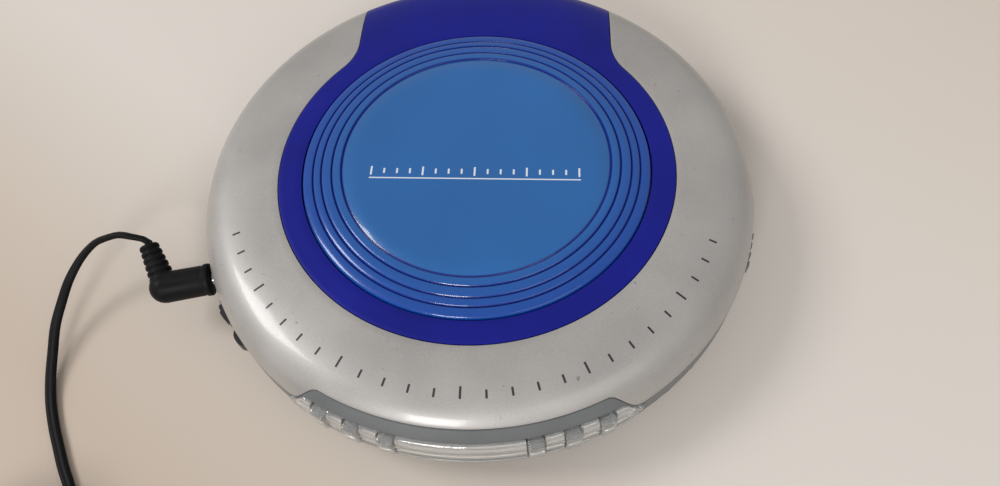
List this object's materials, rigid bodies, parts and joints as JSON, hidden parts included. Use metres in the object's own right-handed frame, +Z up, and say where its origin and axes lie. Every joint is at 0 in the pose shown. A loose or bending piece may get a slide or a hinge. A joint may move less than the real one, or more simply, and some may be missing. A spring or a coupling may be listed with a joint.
{
  "type": "portable cd player",
  "caption": "Round portable disc player with a hinged lid, clear blue window, turntable, sliding pickup, front push buttons, battery bay and a right-angle jack lead.",
  "frame": {"origin": "on the table, under the middle of the player's outline with its hinge and without its lead", "axes": "+Z up, -Y towards the front buttons, +Y towards the hinge, -X towards the jack and volume wheel"},
  "size_m": [0.198, 0.2096, 0.0289],
  "materials": {
    "silver_paint": "satin silver paint on plastic",
    "cobalt_plastic": "fine satin, moulded in cobalt",
    "sky_window": "clear sky blue, polished",
    "case_grey": "fine grain grey",
    "clear_plastic": "clear, polished",
    "black_plastic": "satin black",
    "inner_plastic": "plain moulded",
    "board_green": "green lacquered board",
    "bright_steel": "bright",
    "white_nylon": "plain nylon",
    "black_rubber": "matt",
    "lens_glass": "coated lens",
    "cord_sheath": "soft satin vinyl"
  },
  "bodies": {
    "player": {"deck": "case_grey", "lower_case": "case_grey", "button_trim": "clear_plastic", "hinge_pin": "bright_steel", "lid_spring": "bright_steel", "volume_pot": "inner_plastic", "bass_switch": "inner_plastic", "phones_jack": "inner_plastic", "power_inlet": "inner_plastic", "lid_switch": "inner_plastic", "main_board": "board_green", "key_board_left": "board_green", "key_board_right": "board_green", "chassis": "bright_steel", "damper_1": "black_rubber", "damper_2": "black_rubber", "damper_3": "black_rubber", "spindle_motor": "bright_steel", "guide_rod_main": "bright_steel", "guide_rod_side": "bright_steel", "feed_motor": "bright_steel", "battery_contact_left": "bright_steel", "battery_contact_right": "bright_steel", "case_screw_1": "bright_steel", "case_screw_2": "bright_steel", "case_screw_3": "bright_steel", "case_screw_4": "bright_steel", "foot_1": "black_rubber", "foot_2": "black_rubber", "foot_3": "black_rubber", "foot_4": "black_rubber", "plug": "cord_sheath", "plug_pin": "bright_steel", "lead_free": "cord_sheath", "lead_coil": "cord_sheath", "lead_tail": "cord_sheath", "lead_tie": "black_plastic", "far_plug": "cord_sheath", "far_pin": "bright_steel"},
    "lid": {"lid_cover": "silver_paint", "lid_insert": "cobalt_plastic", "lid_window": "sky_window", "lid_liner": "inner_plastic"},
    "key_1": {"button_1": "clear_plastic"},
    "key_2": {"button_2": "clear_plastic"},
    "key_3": {"button_3": "clear_plastic"},
    "key_4": {"button_4": "clear_plastic"},
    "key_5": {"button_5": "clear_plastic"},
    "key_6": {"button_6": "clear_plastic"},
    "wheel": {"volume_wheel": "black_plastic"},
    "knob": {"bass_knob": "black_plastic"},
    "release": {"open_slide": "black_plastic"},
    "spindle": {"spindle_shaft": "bright_steel", "turntable": "white_nylon"},
    "sled": {"pickup_sled": "black_plastic"},
    "lens": {"objective_lens": "lens_glass"},
    "feed": {"feed_gear": "white_nylon"},
    "pinion": {"feed_pinion": "white_nylon"},
    "door": {"battery_door": "case_grey"}
  },
  "joints": [
    {"name": "lid_hinge", "type": "hinge", "parent": "player", "child": "lid", "pos_m": [0, 0.0701, 0.014], "axis": [-1, 0, 0], "range_deg": [0, 80]},
    {"name": "key_1_press", "type": "slide", "parent": "player", "child": "key_1", "axis": [0.4524, 0.8918, 0], "range_m": [0, 0.0007], "stiffness_N_per_m": 500, "springref_m": -0.0005},
    {"name": "key_2_press", "type": "slide", "parent": "player", "child": "key_2", "axis": [0.3453, 0.9385, 0], "range_m": [0, 0.0007], "stiffness_N_per_m": 500, "springref_m": -0.0005},
    {"name": "key_3_press", "type": "slide", "parent": "player", "child": "key_3", "axis": [0.2317, 0.9728, 0], "range_m": [0, 0.0007], "stiffness_N_per_m": 500, "springref_m": -0.0005},
    {"name": "key_4_press", "type": "slide", "parent": "player", "child": "key_4", "axis": [-0.2317, 0.9728, 0], "range_m": [0, 0.0007], "stiffness_N_per_m": 500, "springref_m": -0.0005},
    {"name": "key_5_press", "type": "slide", "parent": "player", "child": "key_5", "axis": [-0.3453, 0.9385, 0], "range_m": [0, 0.0007], "stiffness_N_per_m": 500, "springref_m": -0.0005},
    {"name": "key_6_press", "type": "slide", "parent": "player", "child": "key_6", "axis": [-0.4524, 0.8918, 0], "range_m": [0, 0.0007], "stiffness_N_per_m": 500, "springref_m": -0.0005},
    {"name": "volume_turn", "type": "hinge", "parent": "player", "child": "wheel", "pos_m": [-0.0557, -0.03617, 0.0122], "axis": [0, 0, 1], "range_deg": [-150, 150]},
    {"name": "bass_slide", "type": "slide", "parent": "player", "child": "knob", "axis": [0.6239, -0.7815, 0], "range_m": [0, 0.002]},
    {"name": "release_slide", "type": "slide", "parent": "player", "child": "release", "axis": [0.2419, 0.9703, 0], "range_m": [0, 0.003], "stiffness_N_per_m": 100, "springref_m": -0.001},
    {"name": "spindle_spin", "type": "hinge", "parent": "player", "child": "spindle", "pos_m": [0, -0.0019, 0.016], "axis": [0, 0, 1], "continuous": true},
    {"name": "sled_slide", "type": "slide", "parent": "player", "child": "sled", "axis": [1, 0, 0], "range_m": [0, 0.0315]},
    {"name": "lens_focus", "type": "slide", "parent": "sled", "child": "lens", "axis": [0, 0, 1], "range_m": [-0.0004, 0.0004], "stiffness_N_per_m": 60},
    {"name": "feed_turn", "type": "hinge", "parent": "player", "child": "feed", "pos_m": [0.027, -0.0257, 0.0111], "axis": [0, 0, 1], "range_deg": [-620, 10]},
    {"name": "pinion_turn", "type": "hinge", "parent": "player", "child": "pinion", "pos_m": [0.01498, -0.02915, 0.0111], "axis": [0, 0, 1], "range_deg": [-40, 2480]},
    {"name": "door_hinge", "type": "hinge", "parent": "player", "child": "door", "pos_m": [0, 0.04995, 0.0021], "axis": [1, 0, 0], "range_deg": [0, 90]}
  ],
  "couplings": [
    {"joint": "feed_turn", "follows": "sled_slide", "rad_per_m": -333.33},
    {"joint": "pinion_turn", "follows": "sled_slide", "rad_per_m": 1333.3}
  ]
}
